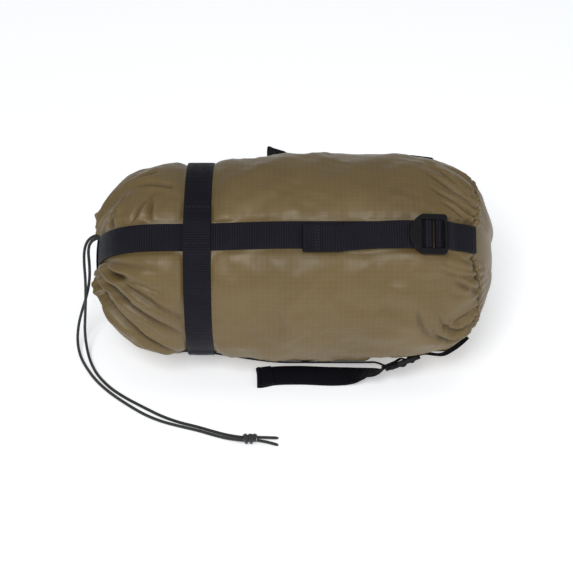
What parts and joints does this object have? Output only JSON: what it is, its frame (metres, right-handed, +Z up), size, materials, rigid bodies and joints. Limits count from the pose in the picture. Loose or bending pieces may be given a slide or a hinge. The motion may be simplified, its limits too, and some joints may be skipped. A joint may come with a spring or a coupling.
{
  "type": "compression stuff sack",
  "caption": "Soft cylindrical stuff sack with a gathered drawcord mouth, a ring strap and long compression straps that cross over the mouth and tighten through ladder-lock buckles.",
  "frame": {"origin": "on the ground under the middle of the sack, on the flat that the packed sack rests on", "axes": "+X along the sack from its mouth to its base, +Z up, the front side towards -Y"},
  "size_m": [0.3998, 0.2722, 0.1935],
  "materials": {
    "sack_fabric": "thin ripstop nylon with a soft sheen, coyote brown",
    "webbing": "black ribbed flat webbing",
    "buckle_plastic": "black moulded acetal, satin",
    "cord": "black braided cord",
    "stuffing": "thin sleeping bag shell, dark olive"
  },
  "bodies": {
    "sack": {"side_panel": "sack_fabric", "base_panel": "sack_fabric", "packed_sleeping_bag": "stuffing", "buckle_anchor_upper_front": "webbing", "buckle_anchor_upper_rear": "webbing", "buckle_anchor_lower_rear": "webbing", "buckle_anchor_lower_front": "webbing", "strap_run_upper_front": "webbing", "strap_run_upper_rear": "webbing", "strap_run_lower_rear": "webbing", "strap_run_lower_front": "webbing"},
    "mouth_end": {"mouth_collar": "sack_fabric", "drawcord_loop": "cord", "cross_strap_upper_front": "webbing", "cross_strap_upper_rear": "webbing", "ring_strap": "webbing", "drawcord_end_1": "cord", "drawcord_end_2": "cord", "drawcord_knot": "cord", "drawcord_tip_1": "cord", "drawcord_tip_2": "cord"},
    "lock_upper_front": {"ladder_lock_upper_front": "buckle_plastic", "strap_turn_upper_front": "webbing"},
    "tail_upper_front": {"strap_tail_upper_front": "webbing"},
    "lock_upper_rear": {"ladder_lock_upper_rear": "buckle_plastic", "strap_turn_upper_rear": "webbing"},
    "tail_upper_rear": {"strap_tail_upper_rear": "webbing"},
    "lock_lower_rear": {"ladder_lock_lower_rear": "buckle_plastic", "strap_turn_lower_rear": "webbing"},
    "tail_lower_rear": {"strap_tail_lower_rear": "webbing"},
    "lock_lower_front": {"ladder_lock_lower_front": "buckle_plastic", "strap_turn_lower_front": "webbing"},
    "tail_lower_front": {"strap_tail_lower_front": "webbing"}
  },
  "joints": [
    {"name": "compression", "type": "slide", "parent": "sack", "child": "mouth_end", "axis": [1, 0, 0], "range_m": [0, 0.04], "deforming": ["side_panel", "packed_sleeping_bag", "strap_run_upper_front", "strap_run_upper_rear", "strap_run_lower_rear", "strap_run_lower_front"]},
    {"name": "lock_tilt_upper_front", "type": "hinge", "parent": "sack", "child": "lock_upper_front", "pos_m": [0.126, -0.06061, 0.17543], "axis": [0, 0.7986, 0.6018], "range_deg": [0, 35], "deforming": ["buckle_anchor_upper_front"]},
    {"name": "lock_tilt_upper_rear", "type": "hinge", "parent": "sack", "child": "lock_upper_rear", "pos_m": [0.126, 0.09463, 0.12944], "axis": [0, 0.342, -0.9397], "range_deg": [0, 35], "deforming": ["buckle_anchor_upper_rear"]},
    {"name": "lock_tilt_lower_rear", "type": "hinge", "parent": "sack", "child": "lock_lower_rear", "pos_m": [0.126, 0.06061, 0.01457], "axis": [0, -0.7986, -0.6018], "range_deg": [0, 35], "deforming": ["buckle_anchor_lower_rear"]},
    {"name": "lock_tilt_lower_front", "type": "hinge", "parent": "sack", "child": "lock_lower_front", "pos_m": [0.109, -0.06716, 0.02546], "axis": [0, -0.7193, 0.6947], "range_deg": [-18, 12], "deforming": ["buckle_anchor_lower_front", "strap_tail_lower_front"]},
    {"name": "tail_feed_upper_front", "type": "slide", "parent": "sack", "child": "tail_upper_front", "axis": [-1, 0, 0], "range_m": [0, 0.04]},
    {"name": "tail_feed_upper_rear", "type": "slide", "parent": "sack", "child": "tail_upper_rear", "axis": [-1, 0, 0], "range_m": [0, 0.04]},
    {"name": "tail_feed_lower_rear", "type": "slide", "parent": "sack", "child": "tail_lower_rear", "axis": [-1, 0, 0], "range_m": [0, 0.04]},
    {"name": "tail_feed_lower_front", "type": "slide", "parent": "sack", "child": "tail_lower_front", "axis": [-1, 0, 0], "range_m": [0, 0.04]}
  ],
  "couplings": [
    {"joint": "tail_feed_upper_front", "follows": "compression", "ratio": 1},
    {"joint": "tail_feed_upper_rear", "follows": "compression", "ratio": 1},
    {"joint": "tail_feed_lower_rear", "follows": "compression", "ratio": 1},
    {"joint": "tail_feed_lower_front", "follows": "compression", "ratio": 1}
  ]
}
